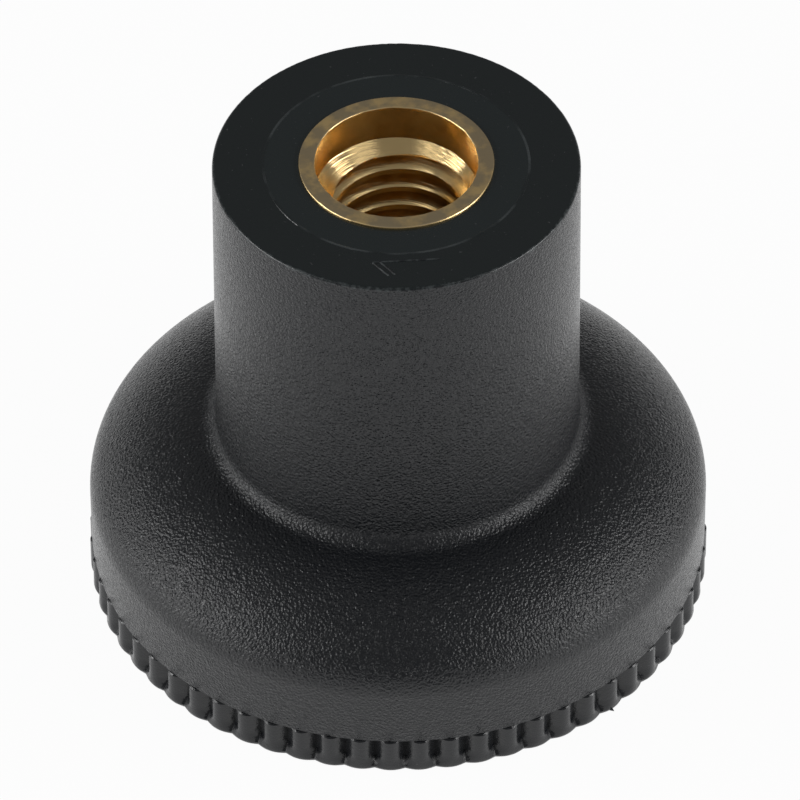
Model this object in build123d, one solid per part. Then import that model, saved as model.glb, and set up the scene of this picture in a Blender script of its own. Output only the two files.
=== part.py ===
from build123d import *
import math
import os

os.makedirs("parts", exist_ok=True)

# A knurled clamping knob: a moulded head and hub in one piece, with a blind
# threaded brass insert moulded into the hub. It stands on its broad face, with
# the hub upwards. Millimetres and degrees; Z = 0 is the broad face.

# Moulded body: overall sizes
hub_end_height = 28.0       # broad face to the hub's end face
head_height = 10.0          # broad face to the top of the head's crown
head_diameter = 32.8        # smooth wall of the head
hub_diameter = 19.0         # at the hub's end face
hub_draft = 0.3             # taper of the hub's wall on each side
hub_edge_radius = 0.3       # round of the hub's end face
hub_fillet_radius = 1.0     # hub into crown

# Moulded body: section of the head
wall_height = 5.4           # broad face to where the rim starts to curve in
rim_radius = 2.6            # tight round at the rim
crown_radius = 8.5          # wide round from the rim up to the hub

# Moulded body: knurled grip at the foot of the wall
ridge_count = 64
knurl_height = 2.2
ridge_proud = 0.1           # crest of a ridge outside the smooth wall
ridge_depth = 0.48          # crest of a ridge to the bottom of a groove
foot_edge_radius = 0.3      # round of the ridges at the broad face

# Thread: metric coarse, bored at its minor diameter
thread_diameter = 8.0
thread_pitch = 1.25
thread_length = 12.0        # full depth below the lead-in
minor_per_pitch = 1.0825    # minor diameter = diameter - this x pitch
drill_point_angle = 118.0

# Insert: mouth
counterbore_clearance = 0.4  # on the thread's diameter
counterbore_depth = 2.1
lead_in_angle = 50.0         # of the cone's side to the axis
mouth_wall = 0.85            # counterbore to outside
insert_proud = 0.15          # insert's end above the hub's end face

# Insert: outside, from the mouth down, with a waist between its two grips
collar_height = 2.5
grip_height = 5.0
grip_ridge_count = 30
grip_ridge_depth = 0.35
tail_height = 2.0
waist_depth = 0.55           # waist and tail below the outside
floor_height = 1.3           # solid brass under the drill point


on_foot = (Align.CENTER, Align.CENTER, Align.MIN)   # how each cylinder is placed


def point_at(radius, angle):
    """Point in the XY plane at a radius and an angle from +X."""
    turn = math.radians(angle)
    return (radius * math.cos(turn), radius * math.sin(turn))


def rounded_ridges(crest_radius, root_radius, count):
    """Face bounded by equal arcs: round crests that meet in sharp grooves."""
    step = 360 / count
    arcs = []
    for index in range(count):
        middle = index * step
        groove_before = point_at(root_radius, middle - step / 2)
        groove_after = point_at(root_radius, middle + step / 2)
        arcs.append(ThreePointArc(groove_before, point_at(crest_radius, middle), groove_after))
    return make_face(arcs)


def pointed_ridges(crest_radius, root_radius, count):
    """Face bounded by straight flanks: sharp crests and sharp grooves."""
    step = 360 / count
    corners = []
    for index in range(count):
        corners.append(point_at(crest_radius, index * step))
        corners.append(point_at(root_radius, (index + 0.5) * step))
    return make_face(Polyline(*corners, close=True))


def turned(outline):
    """Solid of revolution about Z from a closed outline in the XZ plane."""
    return revolve(make_face(outline), Axis.Z)


# Head: smooth wall, tight rim and wide crown, tangent to each other
head_radius = head_diameter / 2
rim_centre_x = head_radius - rim_radius
crown_centre_z = head_height - crown_radius
centre_drop = wall_height - crown_centre_z
centre_gap = crown_radius - rim_radius
crown_centre_x = rim_centre_x - math.sqrt(centre_gap ** 2 - centre_drop ** 2)
rim_angle = math.degrees(math.asin(centre_drop / centre_gap))
rim_centre = (rim_centre_x, 0, wall_height)
crown_centre = (crown_centre_x, 0, crown_centre_z)


def on_arc(centre, radius, angle):
    """Point of the section at an angle above horizontal on an arc."""
    across, up = point_at(radius, angle)
    return (centre[0] + across, 0, centre[2] + up)


rim_start = (head_radius, 0, wall_height)
rim_end = on_arc(rim_centre, rim_radius, rim_angle)
crown_end = (crown_centre_x, 0, head_height)
head = turned([
    Line((0, 0, knurl_height), (head_radius, 0, knurl_height)),
    Line((head_radius, 0, knurl_height), rim_start),
    ThreePointArc(rim_start, on_arc(rim_centre, rim_radius, rim_angle / 2), rim_end),
    ThreePointArc(rim_end, on_arc(crown_centre, crown_radius, (rim_angle + 90) / 2), crown_end),
    Line(crown_end, (0, 0, head_height)),
    Line((0, 0, head_height), (0, 0, knurl_height)),
])

# Knurl: the ridges run the full height of the grip, rounded at the broad face
crest_radius = head_radius + ridge_proud
root_radius = crest_radius - ridge_depth
knurl = extrude(rounded_ridges(crest_radius, root_radius, ridge_count), knurl_height)
foot = Cylinder(crest_radius, knurl_height, align=on_foot)
foot = fillet(foot.edges().group_by(Axis.Z)[0], foot_edge_radius)
knurl = knurl & foot

# Hub: drafted, so it is a little wider where it meets the crown
hub_radius = hub_diameter / 2
hub_foot_radius = hub_radius + (hub_end_height - knurl_height) * math.tan(math.radians(hub_draft))
hub = turned(Polyline(
    (0, 0, knurl_height),
    (hub_foot_radius, 0, knurl_height),
    (hub_radius, 0, hub_end_height),
    (0, 0, hub_end_height),
    close=True,
))
moulding = head + hub
hub_root = [
    edge for edge in moulding.edges().filter_by(GeomType.CIRCLE)
    if hub_radius < edge.radius < hub_foot_radius and edge.center().Z > wall_height
]
moulding = fillet(hub_root, hub_fillet_radius)
moulding = fillet(moulding.edges().group_by(Axis.Z)[-1], hub_edge_radius)
moulding = moulding + knurl

# Insert bore: counterbore, lead-in cone, thread at its minor diameter, drill point
counterbore_radius = (thread_diameter + counterbore_clearance) / 2
minor_radius = (thread_diameter - minor_per_pitch * thread_pitch) / 2
lead_in_height = (counterbore_radius - minor_radius) / math.tan(math.radians(lead_in_angle))
drill_point_height = minor_radius / math.tan(math.radians(drill_point_angle / 2))
insert_top = hub_end_height + insert_proud
thread_top = insert_top - counterbore_depth - lead_in_height
thread_bottom = thread_top - thread_length
drill_tip = thread_bottom - drill_point_height
bore = turned(Polyline(
    (0, 0, insert_top),
    (counterbore_radius, 0, insert_top),
    (counterbore_radius, 0, insert_top - counterbore_depth),
    (minor_radius, 0, thread_top),
    (minor_radius, 0, thread_bottom),
    (0, 0, drill_tip),
    close=True,
))

# Insert blank: collar, two knurled grips with a waist between them, and a tail
insert_radius = counterbore_radius + mouth_wall
waist_radius = insert_radius - waist_depth
insert_bottom = drill_tip - floor_height
collar_bottom = hub_end_height - collar_height
core = Pos(0, 0, insert_bottom) * Cylinder(waist_radius, insert_top - insert_bottom, align=on_foot)
collar = Pos(0, 0, collar_bottom) * Cylinder(insert_radius, insert_top - collar_bottom, align=on_foot)
grip_face = pointed_ridges(insert_radius, insert_radius - grip_ridge_depth, grip_ridge_count)
grip = extrude(grip_face, grip_height)
upper_grip = Pos(0, 0, collar_bottom - grip_height) * grip
lower_grip = Pos(0, 0, insert_bottom + tail_height) * grip
insert_blank = core + collar + upper_grip + lower_grip

# The body is moulded round the insert, so its pocket is the insert's own outside
knob_body = moulding - insert_blank
threaded_insert = insert_blank - bore

export_step(knob_body, "parts/knob_body.step")
export_step(threaded_insert, "parts/threaded_insert.step")
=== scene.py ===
import math

import bmesh
import bpy
import numpy as np
from mathutils import Matrix, Vector


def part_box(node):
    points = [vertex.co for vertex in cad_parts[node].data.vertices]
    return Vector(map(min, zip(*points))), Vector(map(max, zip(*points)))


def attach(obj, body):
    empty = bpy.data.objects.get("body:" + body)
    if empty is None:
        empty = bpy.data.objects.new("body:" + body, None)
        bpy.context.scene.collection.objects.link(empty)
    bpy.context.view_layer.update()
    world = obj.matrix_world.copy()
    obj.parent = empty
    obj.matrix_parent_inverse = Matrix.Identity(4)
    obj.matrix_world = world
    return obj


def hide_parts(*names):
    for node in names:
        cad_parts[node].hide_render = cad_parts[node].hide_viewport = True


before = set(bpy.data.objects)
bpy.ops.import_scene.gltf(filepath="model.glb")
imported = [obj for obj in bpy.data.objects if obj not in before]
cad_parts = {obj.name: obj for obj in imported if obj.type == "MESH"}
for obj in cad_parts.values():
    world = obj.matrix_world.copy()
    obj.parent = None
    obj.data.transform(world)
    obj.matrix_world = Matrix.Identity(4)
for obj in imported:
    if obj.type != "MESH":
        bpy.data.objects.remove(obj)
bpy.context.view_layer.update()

# ---------------------------------------------------------------------------------------------
# The camera looks down on the hub's end with a long lens, as across a table at the knob.
# Its place is worked out from the knob's own box.
# ---------------------------------------------------------------------------------------------
scene = bpy.context.scene
scene.view_settings.view_transform = "Standard"

mm = 0.001
view_azimuth = math.radians(1.72)
view_elevation = math.radians(43.6)
view_roll = math.radians(-0.28)
view_distance = 450 * mm
aim_below_hub_end = 16.79 * mm
aim_right = 0.126 * mm
pixels_per_metre = 18.94 / mm
sensor_width = 36.0
picture_width = 800

body_low, body_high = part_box("knob_body")
hub_end_z = body_high.z

across = Vector((math.cos(view_azimuth), math.sin(view_azimuth), 0))
back = Vector((
    math.sin(view_azimuth) * math.cos(view_elevation),
    -math.cos(view_azimuth) * math.cos(view_elevation),
    math.sin(view_elevation),
))
up = back.cross(across)
aim = across * aim_right + Vector((0, 0, hub_end_z - aim_below_hub_end))
rolled_right = across * math.cos(view_roll) + up * math.sin(view_roll)
rolled_up = up * math.cos(view_roll) - across * math.sin(view_roll)

camera_data = bpy.data.cameras.new("camera")
camera_data.sensor_width = sensor_width
camera_data.lens = sensor_width * view_distance * pixels_per_metre / picture_width
camera_data.clip_start = view_distance / 10
camera_data.clip_end = view_distance * 20
camera = bpy.data.objects.new("camera", camera_data)
scene.collection.objects.link(camera)
turn = Matrix((rolled_right, rolled_up, back)).transposed()
camera.matrix_world = Matrix.Translation(aim + back * view_distance) @ turn.to_4x4()
scene.camera = camera

# ---------------------------------------------------------------------------------------------
# The knob body is one moulding in black glass-filled nylon: a domed head with a ring of small
# ridges at its foot, and a tall hub with a slight draft. It is moulded round the brass insert.
# ---------------------------------------------------------------------------------------------
head_radius = 16.4 * mm
crest_radius = 16.5 * mm
groove_depth = 0.55 * mm
groove_depth_at_foot = 0.17 * mm
groove_shoals_from = 0.8 * mm
groove_shoals_to = 0.3 * mm
ridge_count = 64
knurl_height = 2.2 * mm
ridge_edge = 0.07 * mm
wall_edge = 0.05 * mm
foot_edge_radius = 0.3 * mm
wall_height = 5.4 * mm
rim_radius = 2.6 * mm
head_height = 10.0 * mm
crown_radius = 8.5 * mm
hub_fillet_radius = 1.0 * mm
hub_edge_radius = 0.18 * mm
hub_radius = 9.5 * mm
hub_draft = math.tan(math.radians(0.3))
insert_low, insert_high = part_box("threaded_insert")
insert_radius = (insert_high.x - insert_low.x) / 2
centre_hole = 0.4 * mm


def arc(centre, radius, start, end, steps):
    """Points (r, z) at centre + radius (cos a, sin a), with a going from start to end in degrees."""
    a = np.radians(np.linspace(start, end, steps))
    return np.column_stack((centre[0] + radius * np.cos(a), centre[1] + radius * np.sin(a)))


def run(start, end, steps):
    """Points (r, z) evenly along the straight line from start to end, without the end itself."""
    t = np.arange(steps)[:, None] / steps
    return np.asarray(start) * (1 - t) + np.asarray(end) * t


def ring_faces(rows, columns):
    """Four-sided faces of a grid of rows whose columns close round the axis."""
    row, column = np.meshgrid(np.arange(rows - 1), np.arange(columns), indexing="ij")
    after = (column + 1) % columns
    here, above = row * columns, (row + 1) * columns
    return np.stack((here + column, here + after, above + after, above + column), axis=-1).reshape(-1, 4)


def mesh_object(name, points, faces, sharp_above=30.0):
    """A mesh object from points and faces: doubles merged, faces turned outwards, smooth below an angle."""
    mesh = bpy.data.meshes.new(name)
    mesh.from_pydata(points, [], faces)
    whole = bmesh.new()
    whole.from_mesh(mesh)
    bmesh.ops.remove_doubles(whole, verts=whole.verts, dist=1e-6)
    bmesh.ops.dissolve_degenerate(whole, edges=whole.edges, dist=1e-7)
    bmesh.ops.recalc_face_normals(whole, faces=whole.faces)
    whole.to_mesh(mesh)
    whole.free()
    mesh.shade_smooth()
    mesh.set_sharp_from_angle(angle=math.radians(sharp_above))
    piece = bpy.data.objects.new(name, mesh)
    scene.collection.objects.link(piece)
    return piece


rng = np.random.default_rng(64)


def ring_noise(count, reach):
    """Uneven values from -1 to 1 round a ring: random ones, averaged with those within reach."""
    raw = rng.standard_normal(count)
    near = sum(np.roll(raw, shift) for shift in range(-reach, reach + 1))
    return near / np.abs(near).max()


crown_centre_z = head_height - crown_radius
centre_drop = wall_height - crown_centre_z
centre_gap = crown_radius - rim_radius
rim_centre = np.array((head_radius - rim_radius, wall_height))
crown_centre = np.array((rim_centre[0] - math.sqrt(centre_gap**2 - centre_drop**2), crown_centre_z))
rim_angle = math.degrees(math.asin(centre_drop / centre_gap))

# The hub's fillet touches the crown from outside and the drafted wall of the hub.
fillet_r = hub_radius + hub_draft * (hub_end_z - head_height) + hub_fillet_radius
fillet_reach = crown_radius + hub_fillet_radius
fillet_across = fillet_r - crown_centre[0]
fillet_centre = np.array((fillet_r, crown_centre_z + math.sqrt(fillet_reach**2 - fillet_across**2)))
crown_angle = math.degrees(math.acos(fillet_across / fillet_reach))

# A thin witness line stands on the end face, where a core pin met the mould.
witness_radius = 6.85 * mm
witness_width = 0.14 * mm
witness_height = 0.035 * mm

edge_centre = (hub_radius - hub_edge_radius, hub_end_z - hub_edge_radius)
hub_wall_foot = (fillet_centre[0] - hub_fillet_radius, fillet_centre[1])
foot = arc((crest_radius - foot_edge_radius, foot_edge_radius), foot_edge_radius, -90, 0, 6)
underside = run((centre_hole, 0), foot[0], 8)
ridge_side = run(foot[-1], (crest_radius, knurl_height - ridge_edge), 8)[1:]
ridge_top = [(crest_radius, knurl_height - ridge_edge), (crest_radius - ridge_edge, knurl_height)]
wall_lip = [(head_radius - wall_edge, knurl_height), (head_radius, knurl_height + wall_edge)]
witness_angles = np.linspace(0, np.pi, 5)
witness = np.column_stack((
    witness_radius + witness_width / 2 * np.cos(witness_angles),
    hub_end_z + witness_height * np.sin(witness_angles),
))
beside = 0.03 * mm
parts_of_profile = {
    "underside": underside,
    "ridges": np.vstack((foot, ridge_side, ridge_top)),
    "wall_lip": wall_lip,
    "wall": run(wall_lip[1], (head_radius, wall_height), 3)[1:],
    "rim": arc(rim_centre, rim_radius, 0, rim_angle, 14),
    "crown": arc(crown_centre, crown_radius, rim_angle, crown_angle, 24)[1:],
    "fillet": arc(fillet_centre, hub_fillet_radius, 180 + crown_angle, 180, 9)[1:],
    "hub_wall": run(hub_wall_foot, (hub_radius, edge_centre[1]), 4)[1:],
    "hub_edge": arc(edge_centre, hub_edge_radius, 0, 90, 6),
    "end_face": run((edge_centre[0] - beside, hub_end_z), (witness[0, 0] + beside, hub_end_z), 3),
    "beside_line": [(witness[0, 0] + beside, hub_end_z)],
    "witness": witness,
    "disc": run((witness[-1, 0] - beside, hub_end_z), (insert_radius, hub_end_z), 3),
    "pocket": [(insert_radius, hub_end_z), (insert_radius, insert_low.z), (centre_hole, insert_low.z)],
}
profile = np.vstack(list(parts_of_profile.values()))
part_of_row = np.repeat(list(parts_of_profile), [len(part) for part in parts_of_profile.values()])

columns_per_ridge = 12
columns = ridge_count * columns_per_ridge
angle = np.arange(columns) / columns * 2 * np.pi


def ridge_dip(turn):
    """Depth below the crest, 0 to 1: a round crest that runs into straight, steep flanks.

    With w from 0 at the crest to 1 in the groove it is w - a + sqrt((w - a)^2 + c^2), scaled to reach 1.
    """
    w = np.abs((turn * ridge_count / (2 * np.pi) + 0.5) % 1 - 0.5) * 2
    crest_share, softness = 0.37, 0.24
    at_crest = math.hypot(crest_share, softness) - crest_share
    in_groove = math.hypot(1 - crest_share, softness) + 1 - crest_share
    return (w - crest_share + np.hypot(w - crest_share, softness) - at_crest) / (in_groove - at_crest)


def groove_depth_at(height):
    """Depth of the grooves at a height: full above, a smooth step to a shallow scallop at the foot."""
    t = np.clip((height - groove_shoals_to) / (groove_shoals_from - groove_shoals_to), 0, 1)
    return groove_depth_at_foot + (groove_depth - groove_depth_at_foot) * t * t * (3 - 2 * t)


radius = np.repeat(profile[:, :1], columns, axis=1)
height = np.repeat(profile[:, 1:], columns, axis=1)
on_ridges = part_of_row == "ridges"
radius[on_ridges] -= groove_depth_at(height[on_ridges]) * ridge_dip(angle)
burr = 0.012 * mm
radius[part_of_row == "wall_lip"] += burr * ring_noise(columns, 2)
hub_edge_rows = np.flatnonzero(part_of_row == "hub_edge")
edge_burr = burr * ring_noise(columns, 1)
radius[hub_edge_rows[2:4]] += edge_burr
height[hub_edge_rows[3:5]] += np.minimum(edge_burr, 0)
witness_rows = part_of_row == "witness"
witness_share = np.clip(0.45 + 0.9 * ring_noise(columns, 12), 0.08, 1)
height[witness_rows] = hub_end_z + (height[witness_rows] - hub_end_z) * witness_share

body_points = np.stack((radius * np.cos(angle), radius * np.sin(angle), height), axis=-1).reshape(-1, 3)
body_faces = ring_faces(len(profile), columns).tolist()
last_row = (len(profile) - 1) * columns
body_faces.append(list(range(columns))[::-1])
body_faces.append(list(range(last_row, last_row + columns)))
knob_body = mesh_object("moulded_body", body_points, body_faces)
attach(knob_body, "root")
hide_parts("knob_body")


def new_material(name, base_colour, roughness):
    """A node material with its colour and roughness set on the shader; returns nodes, links and shader."""
    material = bpy.data.materials.new(name)
    material.use_nodes = True
    nodes, links = material.node_tree.nodes, material.node_tree.links
    shader = nodes["Principled BSDF"]
    shader.inputs["Base Color"].default_value = (*base_colour, 1)
    shader.inputs["Roughness"].default_value = roughness
    return material, nodes, links, shader


def add(nodes, kind, **values):
    """A node of a kind, with its plain settings and the values of its inputs by name."""
    node = nodes.new(kind)
    for key, value in values.items():
        if key in node.inputs:
            node.inputs[key].default_value = value
        else:
            setattr(node, key, value)
    return node


def remap(nodes, links, source, low, high, to_low=0.0, to_high=1.0):
    """A smooth step: source from low to high gives to_low to to_high."""
    node = add(nodes, "ShaderNodeMapRange", interpolation_type="SMOOTHSTEP")
    node.inputs["From Min"].default_value = low
    node.inputs["From Max"].default_value = high
    node.inputs["To Min"].default_value = to_low
    node.inputs["To Max"].default_value = to_high
    links.new(source, node.inputs["Value"])
    return node.outputs["Result"]


def calculate(nodes, links, operation, first, second):
    """A Math node on two sockets."""
    node = add(nodes, "ShaderNodeMath", operation=operation)
    links.new(first, node.inputs[0])
    links.new(second, node.inputs[1])
    return node.outputs["Value"]


def mix_colours(nodes, links, amount, first, second):
    """A colour that goes from first to second by amount; each is a plain colour or a socket."""
    node = add(nodes, "ShaderNodeMix", data_type="RGBA")
    links.new(amount, node.inputs["Factor"])
    for name, colour in (("A", first), ("B", second)):
        socket = next(s for s in node.inputs if s.name == name and s.type == "RGBA")
        if isinstance(colour, tuple):
            socket.default_value = (*colour, 1)
        else:
            links.new(colour, socket)
    return next(s for s in node.outputs if s.type == "RGBA")


def noise(nodes, links, vector, scale, detail, roughness=0.55):
    """The value of a noise texture with so many lumps to the metre."""
    node = add(nodes, "ShaderNodeTexNoise", Scale=scale, Detail=detail, Roughness=roughness)
    links.new(vector, node.inputs["Vector"])
    return node.outputs["Fac"]


def axis_distance(nodes, links, split):
    """Distance from the knob's axis: the length of (x, y, 0)."""
    flat = add(nodes, "ShaderNodeCombineXYZ")
    links.new(split.outputs["X"], flat.inputs["X"])
    links.new(split.outputs["Y"], flat.inputs["Y"])
    length = add(nodes, "ShaderNodeVectorMath", operation="LENGTH")
    links.new(flat.outputs["Vector"], length.inputs[0])
    return length.outputs["Value"]


# The mould is spark-eroded on the head and the hub's wall, and polished at the ridges and the end face.
plastic_colour = (0.0080, 0.0091, 0.0112)
end_colour = (0.0082, 0.0122, 0.0130)
disc_colour = (0.0118, 0.0172, 0.0182)
# The next two colours are painted light: lighter specks all over stand for glints of the grain, and a
# lighter grey paints highlights on the witness line, the hub's end edge and the mould marks.
painted_glint_colour = (0.05, 0.052, 0.055)
painted_highlight_colour = (0.05, 0.058, 0.06)
grain_lumps = 7400.0
grain_height = 0.000085
grain_on_ridges = 0.16
glint_lumps = 5000.0
line_highlight_lumps = 420.0
edge_highlight_lumps = 3600.0
painted_glint_lumps = 5200.0
end_skin = 0.1 * mm
plastic, nodes, links, shader = new_material("black_nylon", plastic_colour, 0.25)
place = add(nodes, "ShaderNodeTexCoord").outputs["Object"]
split = add(nodes, "ShaderNodeSeparateXYZ")
links.new(place, split.inputs["Vector"])
z = split.outputs["Z"]
below_end = remap(nodes, links, z, hub_end_z - end_skin, hub_end_z - hub_edge_radius)
above_ridges = remap(
    nodes, links, z, knurl_height - 0.02 * mm, knurl_height + 0.15 * mm, grain_on_ridges, 1.0
)
grained = calculate(nodes, links, "MULTIPLY", below_end, above_ridges)
grain = noise(nodes, links, place, grain_lumps, 1.0, 0.5)
bump = add(nodes, "ShaderNodeBump", Distance=grain_height)
links.new(grain, bump.inputs["Height"])
links.new(grained, bump.inputs["Strength"])
links.new(bump.outputs["Normal"], shader.inputs["Normal"])
glints = noise(nodes, links, place, glint_lumps, 2.0)
links.new(remap(nodes, links, glints, 0.3, 0.7, 0.16, 0.32), shader.inputs["Roughness"])
off_axis = axis_distance(nodes, links, split)
on_end = remap(nodes, links, z, hub_end_z - end_skin, hub_end_z - end_skin / 2)
inside_line = remap(nodes, links, off_axis, witness_radius, witness_radius - end_skin)
end_tint = mix_colours(nodes, links, inside_line, end_colour, disc_colour)
faced = mix_colours(nodes, links, on_end, plastic_colour, end_tint)
# Painted highlight: the witness line is coloured lighter in broken stretches, where its edges would catch
# the light.
from_line = add(nodes, "ShaderNodeMath", operation="SUBTRACT")
links.new(off_axis, from_line.inputs[0])
from_line.inputs[1].default_value = witness_radius
off_line = add(nodes, "ShaderNodeMath", operation="ABSOLUTE")
links.new(from_line.outputs["Value"], off_line.inputs[0])
line_highlight_patches = remap(nodes, links, noise(nodes, links, place, line_highlight_lumps, 3.0), 0.4, 0.65)
on_line = calculate(
    nodes, links, "MULTIPLY",
    remap(nodes, links, off_line.outputs["Value"], witness_width * 0.6, witness_width * 0.3),
    calculate(nodes, links, "MULTIPLY", line_highlight_patches, on_end),
)
faced = mix_colours(nodes, links, on_line, faced, painted_highlight_colour)
# Painted highlight: the rounded end edge of the hub is coloured lighter in patches.
at_edge = calculate(
    nodes, links, "MULTIPLY",
    remap(nodes, links, off_axis, hub_radius - hub_edge_radius, hub_radius - hub_edge_radius / 3),
    remap(nodes, links, z, hub_end_z - hub_edge_radius * 1.3, hub_end_z - hub_edge_radius * 0.8),
)
edge_highlight_patches = remap(nodes, links, noise(nodes, links, place, edge_highlight_lumps, 2.0), 0.42, 0.68)
painted_edge_highlight = calculate(nodes, links, "MULTIPLY", at_edge, edge_highlight_patches)
faced = mix_colours(nodes, links, painted_edge_highlight, faced, painted_highlight_colour)
# Lighter specks everywhere: painted glints of the grain.
painted_glints = remap(nodes, links, noise(nodes, links, place, painted_glint_lumps, 1.0), 0.74, 0.8)
links.new(mix_colours(nodes, links, painted_glints, faced, painted_glint_colour), shader.inputs["Base Color"])
knob_body.data.materials.append(plastic)

# ---------------------------------------------------------------------------------------------
# Small raised marks left by the mould: a plain cavity numeral on the hub's end face, and a nib of
# flash at the foot. They are the same nylon as the body and part of the same shot; their colour is
# lightened in patches with painted highlight.
# ---------------------------------------------------------------------------------------------
mark_height = 0.04 * mm
mark_sunk = 0.05 * mm
rib_width = 0.13 * mm
slope = 0.04 * mm


def raised_bar(start, end, width):
    """A bar with sloping sides on the end face, from start to end: its top is slope smaller all round."""
    start, end = np.array(start) * mm, np.array(end) * mm
    along = (end - start) / np.linalg.norm(end - start)
    side = np.array((-along[1], along[0])) * width / 2
    lower = np.array((start - side, end - side, end + side, start + side))
    middle = lower.mean(axis=0)
    directions = np.vstack((along, side * 2 / width))
    outward = np.sign((lower - middle) @ np.column_stack((along, side))) @ directions
    upper = lower - outward * slope
    low_z = np.full((4, 1), hub_end_z - mark_sunk)
    high_z = np.full((4, 1), hub_end_z + mark_height)
    points = np.vstack((np.hstack((lower, low_z)), np.hstack((upper, high_z))))
    faces = [[3, 2, 1, 0], [4, 5, 6, 7]] + [[k, (k + 1) % 4, (k + 1) % 4 + 4, k + 4] for k in range(4)]
    return points, faces


def nib(centre, radius, length, sides=8):
    """A small cone of flash that points outwards from the foot: a ring of sides points and a tip."""
    outwards = np.array((centre[0], centre[1], 0)) / math.hypot(centre[0], centre[1])
    sideways = np.array((-outwards[1], outwards[0], 0))
    a = np.arange(sides)[:, None] / sides * 2 * np.pi
    ring = centre + radius * (np.cos(a) * sideways + np.sin(a) * np.array((0, 0, 1)))
    points = np.vstack((ring, centre + outwards * length))
    faces = [list(range(sides))[::-1]] + [[k, (k + 1) % sides, sides] for k in range(sides)]
    return points, faces


nib_angle = math.radians(-90 + 42.8 + 1.72)
nib_radius = 16.3 * mm
nib_centre = np.array((nib_radius * math.cos(nib_angle), nib_radius * math.sin(nib_angle), 0.16 * mm))
stroke_left, stroke_right, flag_tip = (-1.02, -7.53), (2.43, -7.18), (-0.17, -8.5)
flag_side = (0.33, 0.1)
mark_points, mark_faces = [], []
for points, faces in (
    raised_bar(stroke_left, stroke_right, rib_width),
    raised_bar(stroke_left, flag_tip, rib_width),
    raised_bar(np.add(stroke_left, flag_side), np.add(flag_tip, flag_side), rib_width),
    nib(nib_centre, 0.16 * mm, 0.38 * mm),
):
    mark_faces += [[corner + len(mark_points) for corner in face] for face in faces]
    mark_points += points.tolist()
mould_marks = mesh_object("mould_marks", mark_points, mark_faces)
# Painted highlight: the marks are coloured lighter in noisy patches, so that they stand out as if they
# caught the light.
mark_highlight_lumps = 3000.0
highlit_material, nodes, links, shader = new_material("painted_highlight_nylon", painted_highlight_colour, 0.4)
place = add(nodes, "ShaderNodeTexCoord").outputs["Object"]
mark_highlight_patches = noise(nodes, links, place, mark_highlight_lumps, 2.0)
mark_highlight_share = remap(nodes, links, mark_highlight_patches, 0.35, 0.6)
mark_tint = mix_colours(nodes, links, mark_highlight_share, plastic_colour, painted_highlight_colour)
links.new(mark_tint, shader.inputs["Base Color"])
bump = add(nodes, "ShaderNodeBump", Strength=0.4, Distance=grain_height)
links.new(mark_highlight_patches, bump.inputs["Height"])
links.new(bump.outputs["Normal"], shader.inputs["Normal"])
mould_marks.data.materials.append(highlit_material)
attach(mould_marks, "root")

# ---------------------------------------------------------------------------------------------
# The insert is turned from brass bar: a plain counterbore, a lead-in cone and a coarse metric
# thread, cut right-handed. Outside it has a collar and two knurled grips that lock it in the hub.
# ---------------------------------------------------------------------------------------------
counterbore_radius = 4.2 * mm
counterbore_depth = 2.1 * mm
lead_in_angle = math.radians(50)
thread_pitch = 1.25 * mm
thread_major = 4.0 * mm
thread_minor = 3.3235 * mm
thread_length = 12.0 * mm
drill_point_angle = math.radians(59)
collar_height = 2.5 * mm
grip_height = 5.0 * mm
grip_ridge_count = 30
grip_ridge_depth = 0.35 * mm
tail_height = 2.0 * mm
waist_radius = insert_radius - 0.55 * mm
lead_in_height = (counterbore_radius - thread_minor) / math.tan(lead_in_angle)
cone_top = insert_high.z - counterbore_depth
thread_bottom = cone_top - lead_in_height - thread_length
drill_tip = thread_bottom - thread_minor / math.tan(drill_point_angle)


def thread_radius(turns, below):
    """Radius of the bore's wall at a depth below the cone's top and a number of turns of the helix.

    Over one pitch the wall is a crest a quarter of the pitch wide, a flank, a root an eighth of it wide
    and a flank back, with eased corners: radius = minor + depth x s(trapezium(below / pitch + turns)),
    where s is a smooth step mixed with a straight one.
    """
    phase = (below / thread_pitch + turns) % 1
    crest, root = 1 / 4, 1 / 8
    flank = (1 - crest - root) / 2
    away = np.abs(phase - 0.5)
    rise = np.clip((0.5 - crest / 2 - away) / flank, 0, 1)
    eased = 0.5 * rise + 0.5 * rise * rise * (3 - 2 * rise)
    return thread_minor + (thread_major - thread_minor) * eased


# The thread is one strip a pitch wide wound down the bore, so its rows follow the helix.
bore_columns = 180
rows_per_pitch = 24
turns = int(math.ceil((cone_top - thread_bottom) / thread_pitch)) + 1
step = np.arange(turns * bore_columns + 1)
strip_step, strip_row = np.meshgrid(step, np.arange(rows_per_pitch + 1), indexing="ij")
strip_turns = strip_step / bore_columns
below = (strip_turns - 1 + strip_row / rows_per_pitch) * thread_pitch
below = np.clip(below, 0, cone_top - thread_bottom)
cone = counterbore_radius - below * math.tan(lead_in_angle)
run_out = np.clip((cone_top - thread_bottom - below) / thread_pitch, 0, 1)
wall = thread_minor + (thread_radius(-strip_turns, below) - thread_minor) * run_out
wall = np.maximum(wall, cone)
strip_angle = strip_turns * 2 * np.pi
thread_points = np.stack(
    (wall * np.cos(strip_angle), wall * np.sin(strip_angle), cone_top - below), axis=-1
)
index = strip_step * (rows_per_pitch + 1) + strip_row
thread_faces = np.stack((index[:-1, :-1], index[1:, :-1], index[1:, 1:], index[:-1, 1:]), axis=-1)
thread_faces = thread_faces.reshape(-1, 4)

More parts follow.
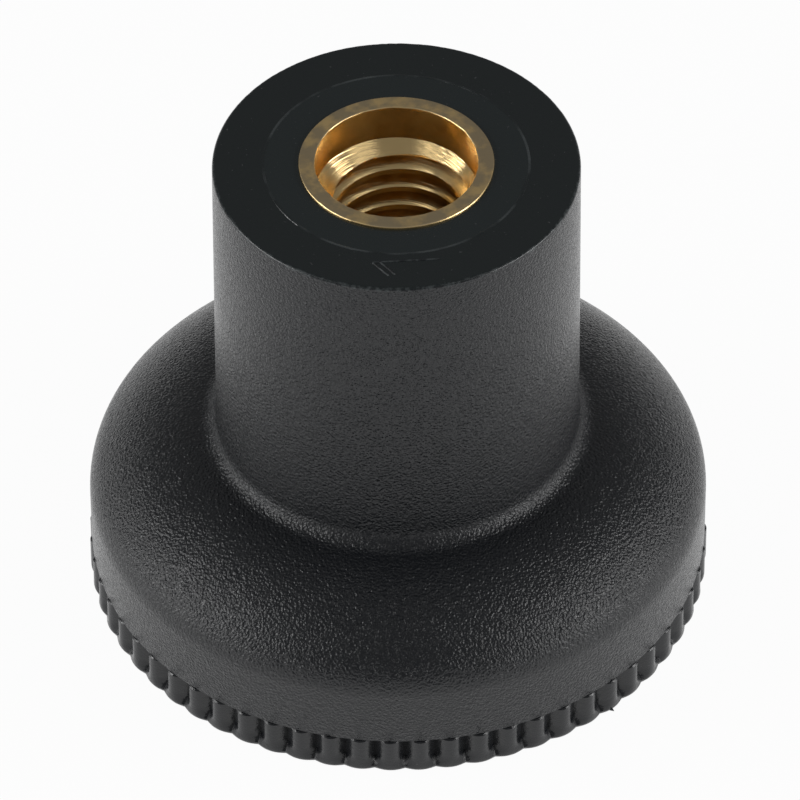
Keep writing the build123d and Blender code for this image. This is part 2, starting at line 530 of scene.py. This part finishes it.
end_edge = 0.08 * mm
collar_bottom = hub_end_z - collar_height
upper_grip_bottom = collar_bottom - grip_height
lower_grip_bottom = insert_low.z + tail_height
lower_grip_top = lower_grip_bottom + grip_height
counterbore_edge = (counterbore_radius + end_edge, insert_high.z - end_edge)
outer_edge = (insert_radius - end_edge, insert_high.z - end_edge)
mouth = np.vstack((
    run((counterbore_radius, cone_top), (counterbore_radius, counterbore_edge[1]), 6),
    arc(counterbore_edge, end_edge, 180, 90, 5),
    run((counterbore_edge[0], insert_high.z), (outer_edge[0], insert_high.z), 4)[1:],
    arc(outer_edge, end_edge, 90, 0, 5),
    [(insert_radius, collar_bottom)],
))
grips = np.array((
    (insert_radius, collar_bottom),
    (insert_radius, upper_grip_bottom),
    (waist_radius, upper_grip_bottom),
    (waist_radius, lower_grip_top),
    (insert_radius, lower_grip_top),
    (insert_radius, lower_grip_bottom),
    (waist_radius, lower_grip_bottom),
    (waist_radius, insert_low.z),
    (0.3 * mm, insert_low.z),
))
bottom = np.array(((thread_minor, thread_bottom), (0.02 * mm, drill_tip)))


def turned(section, count):
    """Radius, angle and height of every point (r, z) of a section carried round in count columns."""
    a = np.arange(count) / count * 2 * np.pi
    return np.repeat(section[:, :1], count, axis=1), a, np.repeat(section[:, 1:], count, axis=1)


def placed(radius, angle, height):
    """Points (r cos a, r sin a, z)."""
    return np.stack((radius * np.cos(angle), radius * np.sin(angle), height), axis=-1).reshape(-1, 3)


mouth_radius, bore_angle, mouth_height = turned(mouth, bore_columns)
nicked = slice(6, 11)
nick_depth = 0.02 * mm
mouth_radius[nicked] += nick_depth * ring_noise(bore_columns, 1)
grip_radius, _, grip_z = turned(grips, bore_columns)
pointed = np.abs((bore_angle * grip_ridge_count / (2 * np.pi) + 0.5) % 1 - 0.5) * 2
in_grip = (grips[:, 0] == insert_radius)[:, None]
grip_radius = np.where(in_grip, grip_radius - grip_ridge_depth * pointed, grip_radius)
pieces_of_insert = (
    (thread_points.reshape(-1, 3), thread_faces),
    (placed(mouth_radius, bore_angle, mouth_height), ring_faces(len(mouth), bore_columns)),
    (placed(grip_radius, bore_angle, grip_z), ring_faces(len(grips), bore_columns)),
    (placed(*turned(bottom, bore_columns)), ring_faces(len(bottom), bore_columns)),
)
insert_points, insert_faces = [], []
for points, faces in pieces_of_insert:
    insert_faces += (faces + len(insert_points)).tolist()
    insert_points += points.tolist()
grips_end = len(insert_points) - len(bottom) * bore_columns
mouth_start = len(thread_points.reshape(-1, 3))
mouth_end = mouth_start + len(mouth) * bore_columns
collar_face = np.stack((
    np.arange(mouth_end - bore_columns, mouth_end),
    np.roll(np.arange(mouth_end - bore_columns, mouth_end), -1),
    np.roll(np.arange(mouth_end, mouth_end + bore_columns), -1),
    np.arange(mouth_end, mouth_end + bore_columns),
), axis=-1)
insert_faces += collar_face.tolist()
insert_faces.append(list(range(grips_end - bore_columns, grips_end)))
insert_faces.append(list(range(len(insert_points) - bore_columns, len(insert_points))))
insert = mesh_object("brass_insert", insert_points, insert_faces, 25.0)
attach(insert, "root")
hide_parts("threaded_insert")

# Turned brass keeps fine rings from the tool; the end face is duller, where the mould closed on it.
brass_colour = (0.89, 0.65, 0.31)
tarnish_colour = (0.50, 0.40, 0.25)
turning_marks = 14000.0
turning_depth = 0.00003
patch_lumps = 900.0
brass, nodes, links, shader = new_material("turned_brass", brass_colour, 0.2)
shader.inputs["Metallic"].default_value = 1.0
place = add(nodes, "ShaderNodeTexCoord").outputs["Object"]
split = add(nodes, "ShaderNodeSeparateXYZ")
links.new(place, split.inputs["Vector"])
rings = add(nodes, "ShaderNodeCombineXYZ")
links.new(axis_distance(nodes, links, split), rings.inputs["X"])
links.new(split.outputs["Z"], rings.inputs["Y"])
swirl = add(nodes, "ShaderNodeVectorMath", operation="SCALE")
swirl.inputs["Scale"].default_value = 0.06
links.new(place, swirl.inputs[0])
wandering = add(nodes, "ShaderNodeVectorMath", operation="ADD")
links.new(rings.outputs["Vector"], wandering.inputs[0])
links.new(swirl.outputs["Vector"], wandering.inputs[1])
tool_marks = noise(nodes, links, wandering.outputs["Vector"], turning_marks, 2.0)
bump = add(nodes, "ShaderNodeBump", Strength=0.5, Distance=turning_depth)
links.new(tool_marks, bump.inputs["Height"])
links.new(bump.outputs["Normal"], shader.inputs["Normal"])
end_face = remap(nodes, links, split.outputs["Z"], insert_high.z - 0.04 * mm, insert_high.z - 0.01 * mm)
patches = noise(nodes, links, place, patch_lumps, 3.0)
worn = remap(nodes, links, patches, 0.3, 0.7, 0.14, 0.26)
dull = remap(nodes, links, end_face, 0.0, 1.0, 0.0, 0.24)
links.new(calculate(nodes, links, "ADD", worn, dull), shader.inputs["Roughness"])
tarnished = calculate(nodes, links, "MULTIPLY", remap(nodes, links, patches, 0.3, 0.6), end_face)
links.new(mix_colours(nodes, links, tarnished, brass_colour, tarnish_colour), shader.inputs["Base Color"])
insert.data.materials.append(brass)

# ---------------------------------------------------------------------------------------------
# The set: a pale floor, and at each side a low strip lamp, a narrow lamp above it and a weak
# softbox higher up, in a dim room. The camera sees the floor and the room white; gloss sees the
# floor white.
# ---------------------------------------------------------------------------------------------
floor_half = 0.6
floor_gap = 0.02 * mm
floor_z = body_low.z - floor_gap
floor_mesh = bpy.data.meshes.new("floor")
corner_signs = ((-1, -1), (1, -1), (1, 1), (-1, 1))
floor_corners = [(x * floor_half, y * floor_half, floor_z) for x, y in corner_signs]
floor_mesh.from_pydata(floor_corners, [], [(0, 1, 2, 3)])
floor = bpy.data.objects.new("floor", floor_mesh)
scene.collection.objects.link(floor)
paper, nodes, links, shader = new_material("white_paper", (0.8, 0.8, 0.8), 0.9)
seen = add(nodes, "ShaderNodeLightPath")
white = add(nodes, "ShaderNodeEmission", Color=(1, 1, 1, 1), Strength=1.0)
blend = add(nodes, "ShaderNodeMixShader")
camera_share = remap(nodes, links, seen.outputs["Is Camera Ray"], 0, 1, 0, 0.96)
glossy_share = remap(nodes, links, seen.outputs["Is Glossy Ray"], 0, 1, 0, 0.9)
links.new(calculate(nodes, links, "MAXIMUM", camera_share, glossy_share), blend.inputs["Fac"])
links.new(shader.outputs["BSDF"], blend.inputs[1])
links.new(white.outputs["Emission"], blend.inputs[2])
links.new(blend.outputs["Shader"], nodes["Material Output"].inputs["Surface"])
floor_mesh.materials.append(paper)

world = bpy.data.worlds.new("room")
scene.world = world
world.use_nodes = True
nodes, links = world.node_tree.nodes, world.node_tree.links
room = nodes["Background"]
room.inputs["Color"].default_value = (1, 1, 1, 1)
room.inputs["Strength"].default_value = 0.2
bright = add(nodes, "ShaderNodeBackground", Color=(1, 1, 1, 1), Strength=1.0)
choose = add(nodes, "ShaderNodeMixShader")
seen = add(nodes, "ShaderNodeLightPath")
links.new(seen.outputs["Is Camera Ray"], choose.inputs["Fac"])
links.new(room.outputs["Background"], choose.inputs[1])
links.new(bright.outputs["Background"], choose.inputs[2])
links.new(choose.outputs["Shader"], nodes["World Output"].inputs["Surface"])


def soft_lamp(name, azimuth, elevation, width, height, watts, distance=0.6):
    """A flat lamp that faces the knob from an azimuth (0 in front, + to the right) and an elevation."""
    a, e = math.radians(azimuth), math.radians(elevation)
    toward = Vector((math.sin(a) * math.cos(e), -math.cos(a) * math.cos(e), math.sin(e)))
    data = bpy.data.lights.new(name, "AREA")
    data.shape = "RECTANGLE"
    data.size, data.size_y = width, height
    data.energy = watts
    lamp = bpy.data.objects.new(name, data)
    scene.collection.objects.link(lamp)
    lamp.location = toward * distance + Vector((0, 0, hub_end_z / 2))
    lamp.rotation_mode = "QUATERNION"
    lamp.rotation_quaternion = toward.to_track_quat("Z", "Y")


for side, sign in (("left", -1), ("right", 1)):
    soft_lamp(side + "_strip", sign * 78, 9, 0.66, 0.19, 0.9)
    soft_lamp(side + "_lamp", sign * 80, 27, 0.38, 0.1, 1.0)
    soft_lamp(side + "_softbox", sign * 60, 52, 0.3, 0.12, 0.1)
